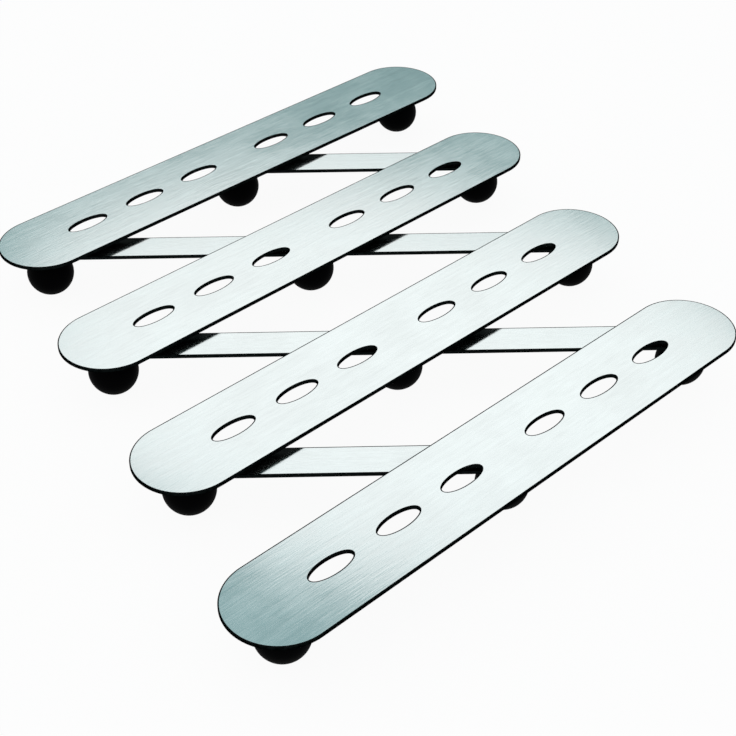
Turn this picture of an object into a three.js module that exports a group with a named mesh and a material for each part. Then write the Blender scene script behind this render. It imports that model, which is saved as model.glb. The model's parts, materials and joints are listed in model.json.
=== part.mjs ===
// An expanding trivet: four slotted top bars on a lattice of narrow cross bars, on twelve ball feet.
// Millimetres, +Z up. The origin is on the table, under the middle of the trivet.
// The top bars run along Y and stay parallel. Each crossing is a pivot, so the lattice opens and closes
// like a row of parallelograms.

import * as THREE from 'three';

// The lattice
const pivotPitch = 84; // from one pivot to the next along a top bar
const closedSideGap = 0.5; // between neighbouring top bars when the trivet is closed
const openingDegrees = 42.4; // between the top bars and the cross bars, as it stands

// Top bars
const topBarWidth = 32;
const topSheet = 1.2;
const slotLength = 15.1;
const slotWidth = 5.7;
const slotLand = 9.5; // steel left between two neighbouring slots

// Cross bars
const crossBarWidth = 11.7;
const crossSheet = 1.2;

// Pivot studs
const threadDiameter = 4;
const threadLength = 7;
const shoulderStep = 0.5; // from the thread out to the bearing shoulder
const studTipChamfer = 0.5;

// Washers and spacer rings
const washerThickness = 1.3;
const washerRim = 1.8; // from the washer's bore to its edge

// Ball feet
const footDiameter = 16;
const footSeatRim = 1.7; // the flat ring round the threaded hole
const footFlatDiameter = 3.6; // the flat that stands on the table
const holeRunOut = 1; // threaded hole beyond the tip of the stud

// Fits
const threadClearance = 0.2; // round the thread in the foot
const pivotClearance = 0.2; // round the shoulder in washers and cross bars
const pivotPlay = 0.1; // between neighbouring pieces along a pivot

// Facets
const barEndSteps = 12;
const slotSteps = 24;
const pivotHoleSteps = 20;
const studSteps = 14;
const washerSteps = 16;
const footSteps = 18;
const footArcSteps = 4; // from the ball's widest level to its flat, and again up to its seat

// Counts
const topBarCount = 4;
const slotsPerSpan = 3;
const pivotPlaces = [-1, 0, 1]; // left end, middle and right end of a top bar
const placeNames = ['left', 'middle', 'right'];

// When the lattice is closed, the top bars lie side by side and level with each other, and the cross
// bars lie along the diagonal from one bar's pivot to the next bar's next pivot.
const crossPitch = Math.hypot(pivotPitch, topBarWidth + closedSideGap);
const opening = THREE.MathUtils.degToRad(openingDegrees);
const alongTopBar = new THREE.Vector2(0, 1);
const alongCrossBar = new THREE.Vector2(Math.sin(opening), Math.cos(opening));
const barStep = alongCrossBar.clone().multiplyScalar(crossPitch)
  .addScaledVector(alongTopBar, -pivotPitch);

// Radii round a pivot
const threadRadius = threadDiameter / 2;
const shoulderRadius = threadRadius + shoulderStep;
const pivotHoleRadius = shoulderRadius + pivotClearance;
const washerRadius = pivotHoleRadius + washerRim;
const threadHoleRadius = threadRadius + threadClearance;
const footRadius = footDiameter / 2;
const footSeatRadius = threadHoleRadius + footSeatRim;
const footFlatRadius = footFlatDiameter / 2;

// Levels, from the table up
const ballCentreLevel = Math.sqrt(footRadius ** 2 - footFlatRadius ** 2);
const seatLevel = ballCentreLevel + Math.sqrt(footRadius ** 2 - footSeatRadius ** 2);
const lowerWasherTop = seatLevel + washerThickness;
const crossBarBottom = lowerWasherTop + pivotPlay;
const crossBarTop = crossBarBottom + crossSheet;
const upperWasherBottom = crossBarTop + pivotPlay;
const upperWasherTop = upperWasherBottom + washerThickness;
const topBarBottom = upperWasherTop + pivotPlay;
const studTipLevel = seatLevel - threadLength;
const threadHoleBottom = studTipLevel - holeRunOut;

const materials = {
  topSteel: new THREE.MeshStandardMaterial({ color: 0xcfd8d8, roughness: 0.32, metalness: 1 }),
  crossSteel: new THREE.MeshStandardMaterial({ color: 0xd6dddd, roughness: 0.3, metalness: 1 }),
  studSteel: new THREE.MeshStandardMaterial({ color: 0xb4babb, roughness: 0.35, metalness: 1 }),
  blackRubber: new THREE.MeshStandardMaterial({ color: 0x0b0b0c, roughness: 0.6, metalness: 0 }),
  blackNylon: new THREE.MeshStandardMaterial({ color: 0x161617, roughness: 0.5, metalness: 0 }),
};

// A closed ring of points: a circle, or an oval that is longer along Y.
function ovalPath(centreY, halfWidth, halfLength, steps) {
  const points = Array.from({ length: steps }, (_, step) => {
    const turn = (2 * Math.PI * step) / steps;
    return new THREE.Vector2(halfWidth * Math.cos(turn), centreY + halfLength * Math.sin(turn));
  });
  return new THREE.Path(points);
}

// A flat strip along Y with full-radius ends, whose end centres lie at two places.
function stripShape(firstY, lastY, width) {
  const endRadius = width / 2;
  const shape = new THREE.Shape();
  shape.absarc(0, lastY, endRadius, 0, Math.PI);
  shape.absarc(0, firstY, endRadius, Math.PI, 2 * Math.PI);
  return shape;
}

// Sheet metal cut to a shape, with its underside at a level.
function sheetOf(shape, thickness, level) {
  const geometry = new THREE.ExtrudeGeometry(shape, {
    depth: thickness,
    bevelEnabled: false,
    curveSegments: barEndSteps,
  });
  return geometry.translate(0, 0, level);
}

// A turned piece about Z, from a profile of [radius, level] pairs.
function turned(profile, steps) {
  const points = profile.map(([radius, level]) => new THREE.Vector2(radius, level));
  return new THREE.LatheGeometry(points, steps).rotateX(Math.PI / 2);
}

// The slots stand in rows of three, each row in the middle between two pivots.
function topBarGeometry() {
  const [leftEnd, , rightEnd] = pivotPlaces;
  const shape = stripShape(leftEnd * pivotPitch, rightEnd * pivotPitch, topBarWidth);
  const slotPitch = slotLength + slotLand;
  for (const side of [leftEnd, rightEnd]) {
    for (let slot = 0; slot < slotsPerSpan; slot += 1) {
      const fromRowMiddle = (slot - (slotsPerSpan - 1) / 2) * slotPitch;
      const centreY = (side * pivotPitch) / 2 + fromRowMiddle;
      shape.holes.push(ovalPath(centreY, slotWidth / 2, slotLength / 2, slotSteps));
    }
  }
  return sheetOf(shape, topSheet, topBarBottom);
}

function crossBarGeometry(pivotCount) {
  const shape = stripShape(0, (pivotCount - 1) * crossPitch, crossBarWidth);
  for (let pivot = 0; pivot < pivotCount; pivot += 1) {
    shape.holes.push(ovalPath(pivot * crossPitch, pivotHoleRadius, pivotHoleRadius, pivotHoleSteps));
  }
  return sheetOf(shape, crossSheet, crossBarBottom);
}

// The stud's flat top is welded under the top bar, and its shoulder stands on the foot's seat.
function studGeometry() {
  return turned([
    [0, studTipLevel],
    [threadRadius - studTipChamfer, studTipLevel],
    [threadRadius, studTipLevel + studTipChamfer],
    [threadRadius, seatLevel],
    [shoulderRadius, seatLevel],
    [shoulderRadius, topBarBottom],
    [0, topBarBottom],
  ], studSteps);
}

function ringGeometry(bottom, top) {
  return turned([
    [pivotHoleRadius, bottom],
    [washerRadius, bottom],
    [washerRadius, top],
    [pivotHoleRadius, top],
    [pivotHoleRadius, bottom],
  ], washerSteps);
}

// A ball with a small flat below, and above it a flat seat round a blind threaded hole.
function footGeometry() {
  const flatAngle = Math.acos(footFlatRadius / footRadius);
  const seatAngle = Math.acos(footSeatRadius / footRadius);
  const profile = [[0, 0], [footFlatRadius, 0]];
  for (let step = 1 - footArcSteps; step < footArcSteps; step += 1) {
    const angle = (step < 0 ? flatAngle : seatAngle) * (step / footArcSteps);
    profile.push([footRadius * Math.cos(angle), ballCentreLevel + footRadius * Math.sin(angle)]);
  }
  profile.push([footSeatRadius, seatLevel]);
  profile.push([threadHoleRadius, seatLevel]);
  profile.push([threadHoleRadius, threadHoleBottom]);
  profile.push([0, threadHoleBottom]);
  return turned(profile, footSteps);
}

const trivet = new THREE.Group();

function addPiece(group, name, geometry, material) {
  const piece = new THREE.Mesh(geometry, material);
  piece.name = name;
  group.add(piece);
  return piece;
}

// Where a top bar's middle lies. Bar 1 is at the lowest X and bar 4 at the highest.
function barMiddle(bar) {
  return barStep.clone().multiplyScalar(bar - (topBarCount + 1) / 2);
}

// Each cross bar starts at a pivot of one top bar and takes one pivot of each bar after it.
const crossBars = [
  { name: 'long_cross_bar_1', firstBar: 1, firstPlace: 0, pivotCount: 3 },
  { name: 'short_cross_bar_1', firstBar: 1, firstPlace: 1, pivotCount: 2 },
  { name: 'long_cross_bar_2', firstBar: 2, firstPlace: 0, pivotCount: 3 },
  { name: 'short_cross_bar_2', firstBar: 3, firstPlace: 0, pivotCount: 2 },
];

function carriesCrossBar(bar, place) {
  return crossBars.some(({ firstBar, firstPlace, pivotCount }) => {
    const barsAlong = bar - firstBar;
    return barsAlong >= 0 && barsAlong < pivotCount && place === firstPlace + barsAlong;
  });
}

// The pieces on one pivot place under a top bar. A free bar end has a spacer ring for a cross bar.
function addPivotStack(barGroup, bar, place) {
  const stack = new THREE.Group();
  stack.position.y = pivotPlaces[place] * pivotPitch;
  barGroup.add(stack);
  const where = `${bar}_${placeNames[place]}`;
  addPiece(stack, `stud_${where}`, studGeometry(), materials.studSteel);
  addPiece(stack, `foot_${where}`, footGeometry(), materials.blackRubber);
  addPiece(stack, `lower_washer_${where}`, ringGeometry(seatLevel, lowerWasherTop), materials.blackNylon);
  addPiece(stack, `upper_washer_${where}`, ringGeometry(upperWasherBottom, upperWasherTop),
    materials.blackNylon);
  if (!carriesCrossBar(bar, place)) {
    addPiece(stack, `spacer_${where}`, ringGeometry(crossBarBottom, crossBarTop), materials.studSteel);
  }
}

for (let bar = 1; bar <= topBarCount; bar += 1) {
  const barGroup = new THREE.Group();
  const middle = barMiddle(bar);
  barGroup.position.set(middle.x, middle.y, 0);
  trivet.add(barGroup);
  addPiece(barGroup, `top_bar_${bar}`, topBarGeometry(), materials.topSteel);
  for (let place = 0; place < pivotPlaces.length; place += 1) {
    addPivotStack(barGroup, bar, place);
  }
}

for (const { name, firstBar, firstPlace, pivotCount } of crossBars) {
  const crossBar = addPiece(trivet, name, crossBarGeometry(pivotCount), materials.crossSteel);
  const start = barMiddle(firstBar).addScaledVector(alongTopBar, pivotPlaces[firstPlace] * pivotPitch);
  crossBar.position.set(start.x, start.y, 0);
  crossBar.rotation.z = -opening;
}

export default trivet;
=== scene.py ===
# %% [markdown]
# An expanding trivet
# This scene dresses a kitchen trivet: four slotted steel bars that pivot on narrow cross bars, on black
# ball feet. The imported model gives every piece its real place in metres, so nothing here is fitted by
# eye. We ask the frame where a piece lies and build the finer one in that same spot.

# %% Load the frame
import json
import math

import bmesh
import bpy
from mathutils import Matrix, Quaternion, Vector
from mathutils.geometry import tessellate_polygon


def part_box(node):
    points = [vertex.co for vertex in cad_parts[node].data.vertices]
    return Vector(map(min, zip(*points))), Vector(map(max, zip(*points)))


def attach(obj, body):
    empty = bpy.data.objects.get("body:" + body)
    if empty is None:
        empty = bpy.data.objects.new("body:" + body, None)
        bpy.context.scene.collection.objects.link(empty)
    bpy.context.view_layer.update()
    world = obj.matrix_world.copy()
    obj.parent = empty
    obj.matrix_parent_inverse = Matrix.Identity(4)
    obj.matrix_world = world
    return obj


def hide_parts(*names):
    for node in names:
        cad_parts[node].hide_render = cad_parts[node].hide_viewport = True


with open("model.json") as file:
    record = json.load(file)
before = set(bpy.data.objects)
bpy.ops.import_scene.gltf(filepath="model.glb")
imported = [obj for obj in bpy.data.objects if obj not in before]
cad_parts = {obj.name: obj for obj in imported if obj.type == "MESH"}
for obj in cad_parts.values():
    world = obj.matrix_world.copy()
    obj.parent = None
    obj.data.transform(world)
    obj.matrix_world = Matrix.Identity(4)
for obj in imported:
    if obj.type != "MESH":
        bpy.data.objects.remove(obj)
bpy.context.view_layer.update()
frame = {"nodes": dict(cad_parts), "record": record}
mm = 0.001
scene = bpy.context.scene
body_of_node = {
    node: body for body, nodes in frame["record"]["behaviour"]["bodies"].items() for node in nodes
}

# %% [markdown]
# Camera
# The photograph was taken from the front right corner, a little under forty degrees above the table, with
# a short telephoto view. A camera can be placed by eye, but here the outlines of the four bars gave its
# direction, distance and focal length, and these few values hold the result.

# %% Camera
image_width_px = 736
sensor_width_mm = 36.0
focal_length_px = 1511.0
camera_azimuth = math.radians(46.51)
camera_elevation = math.radians(37.41)
camera_roll = math.radians(-0.31)
camera_distance = 458.8 * mm
bar_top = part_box("top_bar_1")[1].z
camera_target = Vector((36.7 * mm, -27.7 * mm, bar_top))


def direction_from(azimuth, elevation):
    """A unit vector towards a place round the trivet. Azimuth 0 lies towards -Y."""
    level = math.cos(elevation)
    return Vector((math.sin(azimuth) * level, -math.cos(azimuth) * level, math.sin(elevation)))


towards_camera = direction_from(camera_azimuth, camera_elevation)
camera = bpy.data.objects.new("camera", bpy.data.cameras.new("camera"))
camera.data.sensor_width = sensor_width_mm
camera.data.lens = focal_length_px * sensor_width_mm / image_width_px
camera.location = camera_target + towards_camera * camera_distance
camera.rotation_mode = "QUATERNION"
straight_at_target = (-towards_camera).to_track_quat("-Z", "Y")
camera.rotation_quaternion = straight_at_target @ Quaternion((0, 0, 1), camera_roll)
scene.collection.objects.link(camera)
scene.camera = camera
print(f"lens {camera.data.lens:.1f} mm, {camera_distance / mm:.0f} mm from the trivet")

# %% [markdown]
# Node helpers
# Brushed steel, turned steel and rubber share a few effects, such as fine lines and soft patches. Each
# effect is a node group, which works like a function: sockets for its values go in, and a mask comes out.
# A small helper makes the group and its sockets, so that each effect below takes only a few lines. Two more
# start a material and mix two colours, which every finish here needs.

# %% Node helpers
def new_group(name, inputs, outputs):
    """An empty node group with named sockets. Each input is a name, a kind and a value."""
    group = bpy.data.node_groups.new(name, "ShaderNodeTree")
    for label, kind, value in inputs:
        made = group.interface.new_socket(label, in_out="INPUT", socket_type=f"NodeSocket{kind}")
        if kind != "Vector":
            made.default_value = value
    for label in outputs:
        group.interface.new_socket(label, in_out="OUTPUT", socket_type="NodeSocketFloat")
    return group, group.nodes.new("NodeGroupInput"), group.nodes.new("NodeGroupOutput")


def add_node(tree, kind, values=None, **settings):
    """One node, with its settings and the values of its input sockets."""
    node = tree.nodes.new(kind)
    for name, value in settings.items():
        setattr(node, name, value)
    for socket, value in (values or {}).items():
        node.inputs[socket].default_value = value
    return node


def new_finish(name, metallic=0.0):
    """A new material, with its node tree and its Principled shader."""
    material = bpy.data.materials.new(name)
    material.use_nodes = True
    tree = material.node_tree
    shader = tree.nodes["Principled BSDF"]
    shader.inputs["Metallic"].default_value = metallic
    return material, tree, shader


def two_tones(tree, dark, pale):
    """A mix between two colours. A mask goes into its Factor."""
    tint = add_node(tree, "ShaderNodeMix", data_type="RGBA")
    tint.inputs["A"].default_value = (*dark, 1)
    tint.inputs["B"].default_value = (*pale, 1)
    return tint


def join(tree, *pairs):
    """Links outputs to inputs, given in pairs."""
    for start, end in pairs:
        tree.links.new(start, end)


# %% [markdown]
# Brush lines
# A belt draws hundreds of fine, nearly parallel lines along each bar. An image of scratches would repeat,
# so a noise is squeezed instead: stretched along the bar and narrow across it, it turns into lines of any
# length. Two noises of different fineness are averaged, because a real belt leaves both.

# %% Brush lines
brush_noises = ((1.0, 2.0), (3.1, 1.0))  # how many times finer each noise is, and its detail
finer_share = 0.5  # of the finer noise in the average


def brush_lines_group():
    group, given, result = new_group(
        "brush_lines",
        [("Vector", "Vector", None), ("Line length", "Float", 0.02), ("Line width", "Float", 0.0003),
         ("Seed", "Float", 0.0)],
        ["Height"],
    )
    per_length = add_node(group, "ShaderNodeMath", {0: 1.0}, operation="DIVIDE")
    per_width = add_node(group, "ShaderNodeMath", {0: 1.0}, operation="DIVIDE")
    squeeze = add_node(group, "ShaderNodeCombineXYZ", {"Z": 0.0})
    squeezed = add_node(group, "ShaderNodeVectorMath", operation="MULTIPLY")
    join(group, (given.outputs["Line length"], per_length.inputs[1]),
         (given.outputs["Line width"], per_width.inputs[1]),
         (per_length.outputs[0], squeeze.inputs["X"]), (per_width.outputs[0], squeeze.inputs["Y"]),
         (given.outputs["Vector"], squeezed.inputs[0]), (squeeze.outputs[0], squeezed.inputs[1]))
    lines = []
    for scale, detail in brush_noises:
        noise = add_node(group, "ShaderNodeTexNoise", {"Scale": scale, "Detail": detail},
                         noise_dimensions="4D")
        join(group, (squeezed.outputs[0], noise.inputs["Vector"]),
             (given.outputs["Seed"], noise.inputs["W"]))
        lines.append(noise)
    average = add_node(group, "ShaderNodeMix", {"Factor": finer_share}, data_type="FLOAT")
    join(group, (lines[0].outputs["Fac"], average.inputs["A"]),
         (lines[1].outputs["Fac"], average.inputs["B"]),
         (average.outputs["Result"], result.inputs["Height"]))
    return group


brush_lines = brush_lines_group()
print("brush lines:", len(brush_lines.nodes), "nodes")

# %% [markdown]
# Soft patches
# A kitchen thing is handled and wiped, which leaves wide, weak patches that are a little duller or
# brighter. One low noise does this, and a range squeezes it until only the patches remain.

# %% Soft patches
patch_from = 0.34  # the noise below this is outside a patch
patch_full = 0.66  # and above this it is fully inside


def soft_patches_group():
    group, given, result = new_group(
        "soft_patches",
        [("Vector", "Vector", None), ("Patch size", "Float", 0.02), ("Seed", "Float", 0.0)],
        ["Patch"],
    )
    per_patch = add_node(group, "ShaderNodeMath", {0: 1.0}, operation="DIVIDE")
    noise = add_node(group, "ShaderNodeTexNoise", {"Detail": 3.0, "Roughness": 0.55},
                     noise_dimensions="4D")
    spread = add_node(group, "ShaderNodeMapRange", {"From Min": patch_from, "From Max": patch_full},
                      interpolation_type="SMOOTHSTEP")
    join(group, (given.outputs["Patch size"], per_patch.inputs[1]),
         (per_patch.outputs[0], noise.inputs["Scale"]),
         (given.outputs["Vector"], noise.inputs["Vector"]), (given.outputs["Seed"], noise.inputs["W"]),
         (noise.outputs["Fac"], spread.inputs["Value"]),
         (spread.outputs["Result"], result.inputs["Patch"]))
    return group


soft_patches = soft_patches_group()
print("soft patches:", len(soft_patches.nodes), "nodes")

# %% [markdown]
# Brushed steel
# Metal has no colour of its own except the tint of its reflection, so Metallic is 1 and the base colour is
# a pale, slightly cool grey. The lines go into a Bump node, and they also move the roughness a little,
# because a deeper line scatters more light. Anisotropic stretches the reflection across the lines, as a
# brushed face does. Its direction comes from the UV map, whose first axis runs along each bar.

# %% Brushed steel
steel_tint = (0.84, 0.91, 0.90)
steel_roughness = 0.12
quarter_turn = 0.25  # lays the stretched reflection across the lines
line_strength = 0.2
line_from = 0.35  # the height of the lines that gets the dull tint
line_full = 0.65  # and the height that gets the bright one
dullest_share = 0.88
brightest_share = 1.05
patch_share = 0.4  # of the patches in the shade, the rest comes from the lines
wiped_patch_size = 18 * mm
line_gloss_swing = 0.04
patch_gloss_swing = 0.03


def brushed_steel(name, stretch, line_length, line_width, line_depth, seed):
    material, tree, shader = new_finish(name, metallic=1.0)
    shader.inputs["Anisotropic"].default_value = stretch
    shader.inputs["Anisotropic Rotation"].default_value = quarter_turn
    uv = add_node(tree, "ShaderNodeUVMap", uv_map="along_bar")
    tangent = add_node(tree, "ShaderNodeTangent", direction_type="UV_MAP", uv_map="along_bar")
    lines = add_node(tree, "ShaderNodeGroup", node_tree=brush_lines)
    lines.inputs["Line length"].default_value = line_length
    lines.inputs["Line width"].default_value = line_width
    lines.inputs["Seed"].default_value = seed
    patches = add_node(tree, "ShaderNodeGroup", node_tree=soft_patches)
    patches.inputs["Patch size"].default_value = wiped_patch_size
    patches.inputs["Seed"].default_value = seed
    bump = add_node(tree, "ShaderNodeBump", {"Strength": line_strength, "Distance": line_depth})
    shade = add_node(tree, "ShaderNodeMix", {"Factor": patch_share}, data_type="FLOAT")
    tint = two_tones(tree, [dullest_share * part for part in steel_tint],
                     [brightest_share * part for part in steel_tint])
    line_shade = add_node(tree, "ShaderNodeMapRange", {"From Min": line_from, "From Max": line_full})
    line_gloss = add_node(tree, "ShaderNodeMapRange", {"To Min": steel_roughness - line_gloss_swing,
                                                       "To Max": steel_roughness + line_gloss_swing})
    gloss = add_node(tree, "ShaderNodeMath", {1: patch_gloss_swing}, operation="MULTIPLY_ADD")
    join(tree, (uv.outputs["UV"], lines.inputs["Vector"]), (uv.outputs["UV"], patches.inputs["Vector"]),
         (tangent.outputs["Tangent"], shader.inputs["Tangent"]),
         (lines.outputs["Height"], bump.inputs["Height"]),
         (bump.outputs["Normal"], shader.inputs["Normal"]),
         (lines.outputs["Height"], line_gloss.inputs["Value"]),
         (patches.outputs["Patch"], gloss.inputs[0]), (line_gloss.outputs["Result"], gloss.inputs[2]),
         (gloss.outputs[0], shader.inputs["Roughness"]),
         (lines.outputs["Height"], line_shade.inputs["Value"]),
         (line_shade.outputs["Result"], shade.inputs["A"]), (patches.outputs["Patch"], shade.inputs["B"]),
         (shade.outputs["Result"], tint.inputs["Factor"]),
         (tint.outputs["Result"], shader.inputs["Base Color"]))
    return material


bar_face = brushed_steel("bar_face", stretch=0.45, line_length=20 * mm, line_width=1.5 * mm,
                         line_depth=0.09 * mm, seed=1.0)
cross_face = brushed_steel("cross_face", stretch=0.5, line_length=7 * mm, line_width=1.2 * mm,
                           line_depth=0.02 * mm, seed=5.0)
print("steel finishes:", bar_face.name, cross_face.name)

# %% [markdown]
# Cut edges in painted shade
# The cut edges of the sheets look nearly black against the bright faces, because they mirror the dark shade
# below and in front of them. That shade is painted here as a near-black colour without glint. The same
# painted shade covers the small rounding at the rim and a border a quarter of a millimetre wide on the
# face, which draws the thin dark outline of each bar.

# %% Cut edges
painted_shade_no_glint = (0, 0, 0, 1)  # no glint, so the painted shade stays dark even where the edge is seen at a slant


def shade_painted_steel(name, patch_size, dark, pale, smoothest, roughest):
    """Steel coloured near black as painted shade. Soft patches vary its tint and its roughness."""
    material, tree, shader = new_finish(name, metallic=1.0)
    shader.inputs["Specular Tint"].default_value = painted_shade_no_glint
    place = add_node(tree, "ShaderNodeTexCoord")
    patches = add_node(tree, "ShaderNodeGroup", node_tree=soft_patches)
    patches.inputs["Patch size"].default_value = patch_size
    tint = two_tones(tree, dark, pale)
    gloss = add_node(tree, "ShaderNodeMapRange", {"To Min": smoothest, "To Max": roughest})
    join(tree, (place.outputs["Object"], patches.inputs["Vector"]),
         (patches.outputs["Patch"], tint.inputs["Factor"]),
         (tint.outputs["Result"], shader.inputs["Base Color"]),
         (patches.outputs["Patch"], gloss.inputs["Value"]),
         (gloss.outputs["Result"], shader.inputs["Roughness"]))
    return material, patches


def roughen(material, mask, strength, depth):
    """Bumps in a material's surface, where a mask says."""
    tree = material.node_tree
    bump = add_node(tree, "ShaderNodeBump", {"Strength": strength, "Distance": depth})
    join(tree, (mask, bump.inputs["Height"]),
         (bump.outputs["Normal"], tree.nodes["Principled BSDF"].inputs["Normal"]))


# Painted shade: edges, rim roundings and face borders are coloured near black for the shade they mirror
shade_painted_edge, edge_patches = shade_painted_steel(
    "painted_shade_edge", patch_size=1.2 * mm, dark=(0.002, 0.003, 0.003), pale=(0.006, 0.008, 0.008),
    smoothest=0.38, roughest=0.52,
)
roughen(shade_painted_edge, edge_patches.outputs["Patch"], strength=0.3, depth=0.02 * mm)
print("edges:", shade_painted_edge.name)

# %% [markdown]
# Underside in painted shade
# The cross bars mirror the side that faces the table next to each top bar, and there the mirror image is
# black with shade. That shade is painted into the underside as a near-black colour. Wide soft patches vary
# its tone.

# %% Underside
# Painted shade: the underside is coloured near black for the shade that the cross bars mirror
shade_painted_underside, _ = shade_painted_steel(
    "painted_shade_underside", patch_size=5 * mm, dark=(0.012, 0.014, 0.014), pale=(0.024, 0.027, 0.027),
    smoothest=0.42, roughest=0.56,
)
print("underside:", shade_painted_underside.name)

# %% [markdown]
# Black rubber and nylon
# The balls look like plain black shapes in the photograph, with hardly any shine. Black things are seldom
# quite black, though: moulded rubber has a fine grain, and where a foot stands on the table it is scuffed a
# little greyer. The height above the table gives that mask, because each piece is built in place.

# %% Black rubber and nylon
faint_shine_ior = 1.05  # close to air, so that hardly any light is mirrored
grain_strength = 0.4
grain_gloss_swing = 0.06


def black_moulded(name, colour, scuffed_colour, roughness, grain_size, grain_depth, scuff_height):
    material, tree, shader = new_finish(name)
    shader.inputs["IOR"].default_value = faint_shine_ior
    place = add_node(tree, "ShaderNodeTexCoord")
    grain = add_node(tree, "ShaderNodeGroup", node_tree=soft_patches)
    grain.inputs["Patch size"].default_value = grain_size
    height = add_node(tree, "ShaderNodeSeparateXYZ")
    scuff = add_node(tree, "ShaderNodeMapRange", {"From Min": scuff_height, "From Max": 0.0},
                     interpolation_type="SMOOTHSTEP")
    broken_scuff = add_node(tree, "ShaderNodeMath", operation="MULTIPLY")
    tint = two_tones(tree, colour, scuffed_colour)
    gloss = add_node(tree, "ShaderNodeMapRange", {"To Min": roughness - grain_gloss_swing,
                                                  "To Max": roughness + grain_gloss_swing})
    join(tree, (place.outputs["Object"], grain.inputs["Vector"]),
         (place.outputs["Object"], height.inputs[0]),
         (height.outputs["Z"], scuff.inputs["Value"]), (scuff.outputs["Result"], broken_scuff.inputs[0]),
         (grain.outputs["Patch"], broken_scuff.inputs[1]), (broken_scuff.outputs[0], tint.inputs["Factor"]),
         (tint.outputs["Result"], shader.inputs["Base Color"]),
         (grain.outputs["Patch"], gloss.inputs["Value"]),
         (gloss.outputs["Result"], shader.inputs["Roughness"]))
    roughen(material, grain.outputs["Patch"], grain_strength, grain_depth)
    return material


black_rubber = black_moulded(
    "black_rubber", colour=(0.001, 0.001, 0.0012), scuffed_colour=(0.01, 0.01, 0.01), roughness=0.55,
    grain_size=0.35 * mm, grain_depth=0.01 * mm, scuff_height=1.2 * mm,
)
black_nylon = black_moulded(
    "black_nylon", colour=(0.008, 0.008, 0.009), scuffed_colour=(0.02, 0.02, 0.02), roughness=0.5,
    grain_size=0.5 * mm, grain_depth=0.006 * mm, scuff_height=0.1 * mm,
)
print("black finishes:", black_rubber.name, black_nylon.name)

# %% [markdown]
# Turned steel
# Studs and spacer rings come off a lathe, so their fine lines run round the axis. From the side these are
# level lines, which a noise gives when it is squeezed along Z alone.

# %% Turned steel
lathe_line_length = 20 * mm
lathe_line_width = 0.12 * mm
lathe_line_depth = 0.01 * mm
lathe_line_strength = 0.4
lathe_smoothest = 0.25
lathe_roughest = 0.4


def turned_steel():
    material, tree, shader = new_finish("turned_steel", metallic=1.0)
    place = add_node(tree, "ShaderNodeTexCoord")
    upright = add_node(tree, "ShaderNodeSeparateXYZ")
    flipped = add_node(tree, "ShaderNodeCombineXYZ")
    lines = add_node(tree, "ShaderNodeGroup", node_tree=brush_lines)
    lines.inputs["Line length"].default_value = lathe_line_length
    lines.inputs["Line width"].default_value = lathe_line_width
    tint = two_tones(tree, dark=(0.52, 0.55, 0.55), pale=(0.66, 0.69, 0.69))
    gloss = add_node(tree, "ShaderNodeMapRange", {"To Min": lathe_smoothest, "To Max": lathe_roughest})
    join(tree, (place.outputs["Object"], upright.inputs[0]), (upright.outputs["X"], flipped.inputs["X"]),
         (upright.outputs["Z"], flipped.inputs["Y"]), (flipped.outputs[0], lines.inputs["Vector"]),
         (lines.outputs["Height"], tint.inputs["Factor"]),
         (tint.outputs["Result"], shader.inputs["Base Color"]),
         (lines.outputs["Height"], gloss.inputs["Value"]),
         (gloss.outputs["Result"], shader.inputs["Roughness"]))
    roughen(material, lines.outputs["Height"], lathe_line_strength, lathe_line_depth)
    return material


lathe_steel = turned_steel()
print("turned finish:", lathe_steel.name)

# %% [markdown]
# A piece takes a node's place
# Each finer piece stands for one node of the frame: it rides on that node's body, gets its own materials,
# and hides the node. One helper does all three, so that no piece is forgotten when the lattice moves.


def stand_for(node, mesh, materials):
    """Shows a mesh in place of a node of the frame."""
    piece = bpy.data.objects.new(f"{node}_fine", mesh)
    scene.collection.objects.link(piece)
    for material in materials:
        mesh.materials.append(material)
    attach(piece, body_of_node[node])
    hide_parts(node)
    return piece


# %% [markdown]
# Sheet metal with rounded rims
# A bar is a flat outline with holes, given a thickness. A Solidify and a Bevel modifier would make it too,
# but a bevel on a rim of many short edges is hard to control. Here each outline and hole is a loop of
# points that know which way is out of the metal, so the rim is a quarter circle of smaller loops.

# %% Loops
end_steps = 48
slot_steps = 56


def rounded_ends_loop(half_length, radius, steps):
    """Points and outward directions round a strip along Y with full-radius ends."""
    loop = []
    for end in (1, -1):
        for step in range(steps + 1):
            turn = math.pi * step / steps
            out = Vector((math.cos(turn), math.sin(turn))) * end
            loop.append((Vector((0, end * half_length)) + out * radius, out))
    return loop


def oval_loop(centre_y, half_width, half_length, steps):
    """Points round an oval hole, with directions out of the metal, which is into the hole."""
    loop = []
    for step in range(steps):
        turn = 2 * math.pi * step / steps
        point = Vector((half_width * math.cos(turn), centre_y + half_length * math.sin(turn)))
        across = Vector((math.cos(turn) / half_width, math.sin(turn) / half_length))
        loop.append((point, -across.normalized()))
    return loop


print("points round a bar:", len(rounded_ends_loop(1, 1, end_steps)))
print("points round a slot:", len(oval_loop(0, 1, 1, slot_steps)))

# %% Rim
rim_steps = 4
rim_rounding = 0.15 * mm
# a border of painted shade on each face, which draws the bar's dark outline
painted_shade_border = 0.26 * mm


def rim_profile(low, high):
    """Insets and levels of the loops from the top face over the rim to the bottom face."""
    quarter = [(rim_rounding * (1 - math.sin(turn)), rim_rounding * (1 - math.cos(turn)))
               for turn in (math.pi / 2 * step / rim_steps for step in range(rim_steps + 1))]
    border = [(rim_rounding + painted_shade_border, high)]
    upper = [(inset, high - drop) for inset, drop in quarter]
    lower = [(inset, low + drop) for inset, drop in reversed(quarter)]
    return border + upper + lower


first_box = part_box("top_bar_1")
print("loops from face to face:", len(rim_profile(first_box[0].z, first_box[1].z)))

# %% Sheet
top_slot, rim_slot, bottom_slot = 0, 1, 2  # places in the list of a sheet's three materials


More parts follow.
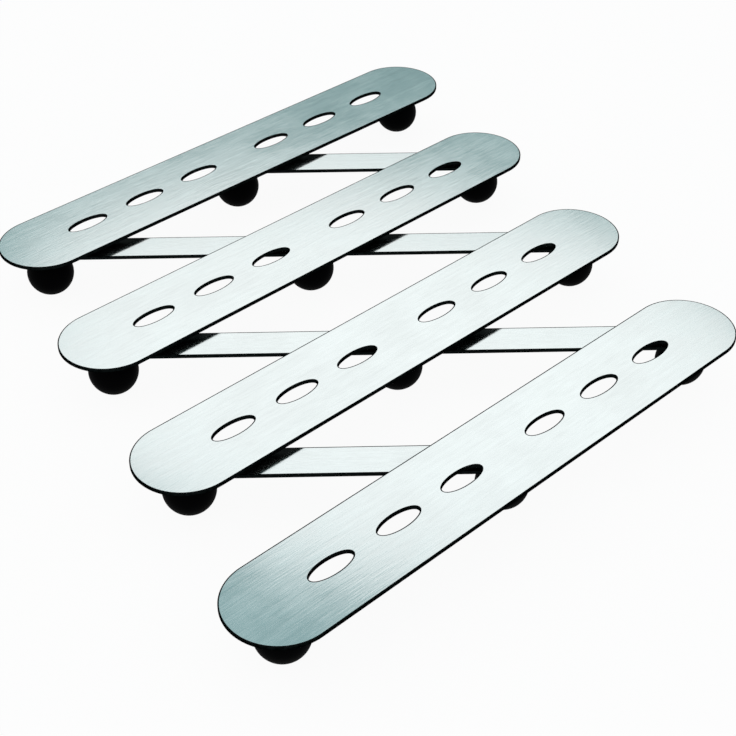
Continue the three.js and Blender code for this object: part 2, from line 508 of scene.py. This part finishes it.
def sheet_mesh(name, loops, low, high, place):
    """A closed sheet from an outline and its holes. place turns a flat point into the frame."""
    profile = rim_profile(low, high)
    vertices = []
    faces = []
    caps = ([], [])
    for loop in loops:
        count = len(loop)
        first = len(vertices)
        for inset, level in profile:
            for point, out in loop:
                flat = place(point - out * inset)
                vertices.append((flat.x, flat.y, level))
        for ring in range(len(profile) - 1):
            for step in range(count):
                after = (step + 1) % count
                start = first + ring * count
                faces.append((start + step, start + count + step, start + count + after, start + after))
        caps[0].append([first + step for step in range(count)])
        caps[1].append([first + (len(profile) - 1) * count + step for step in range(count)])
    # every rim face, the face border too, gets the painted shade of the edges
    slots = [rim_slot] * len(faces)
    for cap, slot in zip(caps, (top_slot, bottom_slot)):
        corners = [index for ring in cap for index in ring]
        rings = [[Vector(vertices[index]) for index in ring] for ring in cap]
        triangles = tessellate_polygon(rings)
        faces.extend(tuple(corners[corner] for corner in triangle) for triangle in triangles)
        slots.extend([slot] * len(triangles))
    mesh = bpy.data.meshes.new(name)
    mesh.from_pydata(vertices, [], faces)
    for face, slot in zip(mesh.polygons, slots):
        face.use_smooth = slot == rim_slot
        face.material_index = slot
    return mesh


def face_outwards(mesh):
    """Turns every face of a closed mesh to point out."""
    work = bmesh.new()
    work.from_mesh(mesh)
    bmesh.ops.recalc_face_normals(work, faces=work.faces)
    work.to_mesh(mesh)
    work.free()


# %% [markdown]
# A map along the bar
# The brush lines have to run along each bar, whichever way it lies. Unwrapping could lay the map any way
# round, so the map is worked out instead: U is a point's distance along the piece, and V across it.

# %% A map along the bar
def lay_uv(mesh, along, across, origin):
    """Gives the mesh a UV map in metres, with U along the piece."""
    layer = mesh.uv_layers.new(name="along_bar")
    for corner in mesh.loops:
        flat = mesh.vertices[corner.vertex_index].co.xy - origin
        layer.data[corner.index].uv = (flat.dot(along), flat.dot(across))


# %% [markdown]
# Top bars
# Each top bar is a round-ended plate with two rows of three oval slots, each row in the middle between
# two pivots. The plate's length, width and levels come from the frame, and only the slots have sizes of
# their own. Each bar gets its own stretch of the brush lines, so that no two bars are alike.

# %% Top bars
slot_length = 15.1 * mm
slot_width = 5.7 * mm
slot_land = 9.5 * mm
slots_per_row = 3
brush_shift = 0.4  # metres of brush lines between the stretches of two bars
bar_count = 4


def middle_of(node):
    low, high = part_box(node)
    return (low + high) / 2


pivot_pitch = (middle_of("stud_1_middle") - middle_of("stud_1_left")).y


def top_bar(number):
    node = f"top_bar_{number}"
    low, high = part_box(node)
    middle = ((low + high) / 2).xy
    radius = (high.x - low.x) / 2
    loops = [rounded_ends_loop(pivot_pitch, radius, end_steps)]
    for side in (-1, 1):
        for slot in range(slots_per_row):
            from_row_middle = (slot - (slots_per_row - 1) / 2) * (slot_length + slot_land)
            centre = side * pivot_pitch / 2 + from_row_middle
            loops.append(oval_loop(centre, slot_width / 2, slot_length / 2, slot_steps))
    mesh = sheet_mesh(node, loops, low.z, high.z, lambda flat: flat + middle)
    face_outwards(mesh)
    own_stretch = Vector((0, number * brush_shift))
    lay_uv(mesh, Vector((0, 1)), Vector((1, 0)), middle + own_stretch)
    # the rim, its face border and the underside are painted near black for shade
    return stand_for(node, mesh, [bar_face, shade_painted_edge, shade_painted_underside])


top_bars = [top_bar(number) for number in range(1, bar_count + 1)]
print("top bar:", len(top_bars[0].data.polygons), "faces, pivots", round(pivot_pitch / mm, 1), "mm apart")

# %% [markdown]
# Cross bars
# The cross bars are narrow strips under the top bars, with a round hole at each pivot. The frame's studs
# say where their ends lie: a strip runs from its first stud to its last, and each stud on it has a hole.
# One short bar is brighter in the photograph than its neighbours, because it leans in its play and so
# mirrors more of the light. A degree is enough, which moves its edges by a tenth of a millimetre.

# %% Cross bars
cross_bar_width = 11.7 * mm
cross_hole = 5.4 * mm
cross_bar_studs = {
    "long_cross_bar_1": ["stud_1_left", "stud_2_middle", "stud_3_right"],
    "short_cross_bar_1": ["stud_1_middle", "stud_2_right"],
    "long_cross_bar_2": ["stud_2_left", "stud_3_middle", "stud_4_right"],
    "short_cross_bar_2": ["stud_3_left", "stud_4_middle"],
}
lean_in_play = {"short_cross_bar_1": math.radians(1.1)}


def lean(mesh, axis, centre, angle):
    """Turns a mesh a little about a level axis through its centre."""
    turn = Matrix.Rotation(angle, 4, axis)
    mesh.transform(Matrix.Translation(centre) @ turn @ Matrix.Translation(-centre))


def cross_bar(node, studs):
    low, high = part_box(node)
    places = [middle_of(stud).xy for stud in studs]
    middle = (places[0] + places[-1]) / 2
    along = (places[-1] - places[0]).normalized()
    across = Vector((along.y, -along.x))
    half_length = (places[-1] - places[0]).length / 2
    loops = [rounded_ends_loop(half_length, cross_bar_width / 2, end_steps)]
    for place in places:
        loops.append(oval_loop((place - middle).dot(along), cross_hole / 2, cross_hole / 2, slot_steps))
    mesh = sheet_mesh(node, loops, low.z, high.z,
                      lambda flat: middle + across * flat.x + along * flat.y)
    face_outwards(mesh)
    lay_uv(mesh, along, across, middle)
    lean(mesh, along.to_3d(), (low + high) / 2, lean_in_play.get(node, 0.0))
    # the rim, its face border and the underside are painted near black for shade
    return stand_for(node, mesh, [cross_face, shade_painted_edge, shade_painted_underside])


cross_bars = [cross_bar(node, studs) for node, studs in cross_bar_studs.items()]
print("cross bars:", [round(bar.dimensions.length / mm) for bar in cross_bars], "mm from corner to corner")

# %% [markdown]
# Turned pieces
# Feet, washers and spacer rings are all shapes of revolution. The Screw modifier could spin them, but a
# direct spin leaves a clean closed mesh, whose two poles are single points. A profile is a list of radius
# and level, from the axis round the outside and back to the axis, or round to its own start for a ring.

# %% Spin a profile
on_axis_radius = 1e-9  # a point nearer to the axis than this is a pole


def spun_mesh(name, profile, centre, steps, closed=False):
    """A closed mesh spun about an upright axis. Profile points on the axis become poles."""
    vertices = []
    rings = []
    for radius, level in profile:
        on_axis = radius < on_axis_radius
        turns = [0.0] if on_axis else [2 * math.pi * step / steps for step in range(steps)]
        rings.append([len(vertices) + index for index in range(len(turns))])
        vertices.extend((centre.x + radius * math.cos(turn), centre.y + radius * math.sin(turn), level)
                        for turn in turns)
    pairs = list(zip(rings, rings[1:]))
    if closed:
        pairs.append((rings[-1], rings[0]))
    faces = []
    for lower, upper in pairs:
        for step in range(steps):
            after = (step + 1) % steps
            corners = [lower[step % len(lower)], lower[after % len(lower)],
                       upper[after % len(upper)], upper[step % len(upper)]]
            faces.append(tuple(dict.fromkeys(corners)))
    mesh = bpy.data.meshes.new(name)
    mesh.from_pydata(vertices, [], faces)
    mesh.shade_smooth()
    face_outwards(mesh)
    return mesh


# %% Soft corners
def softened(corners, rounding, steps=3):
    """The corners of a profile, each cut by a small arc. The ends on the axis stay as they are."""
    soft = []
    for index, (radius, level) in enumerate(corners):
        corner = Vector((radius, level))
        before = Vector(corners[index - 1])
        after = Vector(corners[(index + 1) % len(corners)])
        if radius < on_axis_radius:
            soft.append(corner)
            continue
        start = corner + (before - corner).normalized() * rounding
        end = corner + (after - corner).normalized() * rounding
        for step in range(steps + 1):
            share = step / steps
            soft.append(start.lerp(corner, share).lerp(corner.lerp(end, share), share))
    return [(point.x, point.y) for point in soft]


# %% [markdown]
# Ball feet
# Each foot is a ball of sixteen millimetres with a flat seat above, a blind hole for the stud and a small
# flat below. The arc between the two flats is a plain circle, so its points come from one angle.

# %% Ball feet
foot_steps = 64
foot_arc_steps = 40
ball_radius = 8 * mm
seat_radius = 3.9 * mm
flat_radius = 1.8 * mm
hole_radius = 2.2 * mm
hole_depth = 8 * mm
hole_rim_rounding = 0.25 * mm
seat_edge = 0.3 * mm  # points nearer to the seat's outer edge are left out, so that it stays sharp
place_names = ("left", "middle", "right")


def foot_profile(base, seat):
    centre = base + math.sqrt(ball_radius ** 2 - flat_radius ** 2)
    first = -math.acos(flat_radius / ball_radius)
    last = math.acos(seat_radius / ball_radius)
    profile = [(0, base)]
    for step in range(foot_arc_steps + 1):
        turn = first + (last - first) * step / foot_arc_steps
        profile.append((ball_radius * math.cos(turn), centre + ball_radius * math.sin(turn)))
    mouth = softened([(seat_radius, seat), (hole_radius, seat), (hole_radius, seat - hole_depth),
                      (0, seat - hole_depth)], hole_rim_rounding)
    return profile + [point for point in mouth if point[0] < seat_radius - seat_edge]


def foot(node):
    low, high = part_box(node)
    mesh = spun_mesh(node, foot_profile(low.z, high.z), middle_of(node), foot_steps)
    return stand_for(node, mesh, [black_rubber])


where_names = [f"{bar}_{place}" for bar in range(1, bar_count + 1) for place in place_names]
feet = [foot(f"foot_{where}") for where in where_names]
print("feet:", len(feet), "of", round(feet[0].dimensions.x / mm, 1), "mm")

# %% [markdown]
# Washers, spacers and studs
# A washer lies above and below each cross bar, and a steel ring takes the cross bar's place at the two
# free bar ends. The studs keep their own solids, because they are hidden inside the rings and the feet.

# %% Washers and spacers
ring_steps = 48
ring_rounding = 0.15 * mm
ring_hole = cross_hole / 2


def ring(node, material):
    low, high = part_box(node)
    radius = (high.y - low.y) / 2
    corners = [(ring_hole, low.z), (radius, low.z), (radius, high.z), (ring_hole, high.z)]
    mesh = spun_mesh(node, softened(corners, ring_rounding), middle_of(node), ring_steps, closed=True)
    return stand_for(node, mesh, [material])


washers = [ring(f"{side}_washer_{where}", black_nylon)
           for where in where_names for side in ("upper", "lower")]
spacers = [ring(node, lathe_steel) for node in frame["nodes"] if node.startswith("spacer_")]
print("rings:", len(washers), "washers and", len(spacers), "spacers")

# %% Studs
for where in where_names:
    stud = frame["nodes"][f"stud_{where}"]
    stud.data.materials.clear()
    stud.data.materials.append(lathe_steel)
print("studs:", len(where_names), "in turned steel")

# %% [markdown]
# Floor
# The photograph shows the trivet on plain white, with hardly a shadow. The floor is white in itself. Where
# it is seen straight, in a reflection or through something clear, most of it glows at a strength of one.
# What is left of its own shading keeps a faint shadow under the trivet.

# %% Floor
floor_size = 24.0
floor_own_share = 0.06
floor_white = (0.9, 0.9, 0.9, 1)
floor_mesh = bpy.data.meshes.new("floor")
half = floor_size / 2
floor_corners = [(-half, -half, 0), (half, -half, 0), (half, half, 0), (-half, half, 0)]
floor_mesh.from_pydata(floor_corners, [], [(0, 1, 2, 3)])
floor = bpy.data.objects.new("floor", floor_mesh)
scene.collection.objects.link(floor)


def floor_material():
    material = bpy.data.materials.new("pale_floor")
    material.use_nodes = True
    tree = material.node_tree
    tree.nodes.clear()
    output = add_node(tree, "ShaderNodeOutputMaterial")
    white = add_node(tree, "ShaderNodeBsdfDiffuse", {"Color": floor_white})
    glow = add_node(tree, "ShaderNodeEmission", {"Color": (1, 1, 1, 1), "Strength": 1.0})
    path = add_node(tree, "ShaderNodeLightPath")
    straight_or_mirrored = add_node(tree, "ShaderNodeMath", operation="MAXIMUM")
    seen_any_way = add_node(tree, "ShaderNodeMath", operation="MAXIMUM")
    share = add_node(tree, "ShaderNodeMath", {1: 1 - floor_own_share}, operation="MULTIPLY")
    mix = add_node(tree, "ShaderNodeMixShader")
    join(tree, (path.outputs["Is Camera Ray"], straight_or_mirrored.inputs[0]),
         (path.outputs["Is Glossy Ray"], straight_or_mirrored.inputs[1]),
         (straight_or_mirrored.outputs[0], seen_any_way.inputs[0]),
         (path.outputs["Is Transmission Ray"], seen_any_way.inputs[1]),
         (seen_any_way.outputs[0], share.inputs[0]), (share.outputs[0], mix.inputs["Fac"]),
         (white.outputs[0], mix.inputs[1]), (glow.outputs[0], mix.inputs[2]),
         (mix.outputs[0], output.inputs["Surface"]))
    return material


floor_mesh.materials.append(floor_material())
print("floor:", floor_size, "metres wide")

# %% [markdown]
# Light
# Polished and brushed metal shows the room, so the light is chosen by what each face mirrors. The bright
# middle of the photograph is one soft box, seen in the tops of the bars: it stands behind the trivet,
# where the camera's line of sight would bounce. The bars darken where they look past its edge, into a
# calm grey room. A pale ceiling and three wide boxes on the other sides light the rest softly and evenly.
# None of them is so bright that the steel would clip to white from another side.

# %% Room
# How high each shade of the room stands, from 0 at the horizon to 1 overhead
room_shades = (
    (0.0, (0.97, 0.98, 0.98)),
    (0.2, (0.95, 0.97, 0.97)),
    (0.34, (0.29, 0.40, 0.41)),
    (0.44, (0.24, 0.36, 0.37)),
    (0.52, (0.29, 0.43, 0.44)),
    (0.76, (0.27, 0.42, 0.44)),
    (0.88, (0.78, 0.80, 0.80)),
    (1.0, (0.92, 0.90, 0.90)),
)


def room():
    world = bpy.data.worlds.new("room")
    scene.world = world
    world.use_nodes = True
    tree = world.node_tree
    background = tree.nodes["Background"]
    place = add_node(tree, "ShaderNodeTexCoord")
    height = add_node(tree, "ShaderNodeSeparateXYZ")
    shade = add_node(tree, "ShaderNodeValToRGB")
    stops = shade.color_ramp.elements
    stops.remove(stops[-1])
    stops[0].position = room_shades[0][0]
    stops[0].color = (*room_shades[0][1], 1)
    for position, colour in room_shades[1:]:
        stops.new(position).color = (*colour, 1)
    join(tree, (place.outputs["Generated"], height.inputs[0]), (height.outputs["Z"], shade.inputs["Fac"]),
         (shade.outputs["Color"], background.inputs["Color"]))
    background.inputs["Strength"].default_value = 1.0


room()
print("room:", len(room_shades), "shades from the horizon up")

# %% Soft boxes
watts_per_square_metre = 4  # what a box needs to be seen at a brightness of one


def soft_box(name, azimuth, elevation, distance, width, height, colour, turn=0.0, shape="RECTANGLE"):
    """A lamp that faces the trivet. Its colour is what a mirror would show of it."""
    data = bpy.data.lights.new(name, "AREA")
    data.shape = shape
    data.size = width
    data.size_y = height
    area = width * height * (math.pi / 4 if shape == "ELLIPSE" else 1)
    brightest = max(colour)
    data.color = [part / brightest for part in colour]
    data.energy = watts_per_square_metre * area * brightest
    lamp = bpy.data.objects.new(name, data)
    towards = direction_from(math.radians(azimuth), math.radians(elevation))
    lamp.location = Vector((0, 0, bar_top)) + towards * distance
    lamp.rotation_mode = "QUATERNION"
    facing = (-towards).to_track_quat("-Z", "Y")
    lamp.rotation_quaternion = facing @ Quaternion((0, 0, 1), math.radians(turn))
    lamp.visible_camera = False
    scene.collection.objects.link(lamp)
    return lamp


soft_box("mirrored_box", azimuth=224.0, elevation=38.6, distance=4.0, width=2.42, height=1.22,
         colour=(0.63, 0.51, 0.505), turn=-10.5, shape="ELLIPSE")
for name, azimuth in (("front_box", 20), ("left_box", 300), ("right_box", 110)):
    soft_box(name, azimuth, elevation=36, distance=2.4, width=3.0, height=1.28,
             colour=(0.58, 0.47, 0.465))

# %% Picture settings
scene.view_settings.view_transform = "Standard"
print("view transform:", scene.view_settings.view_transform)
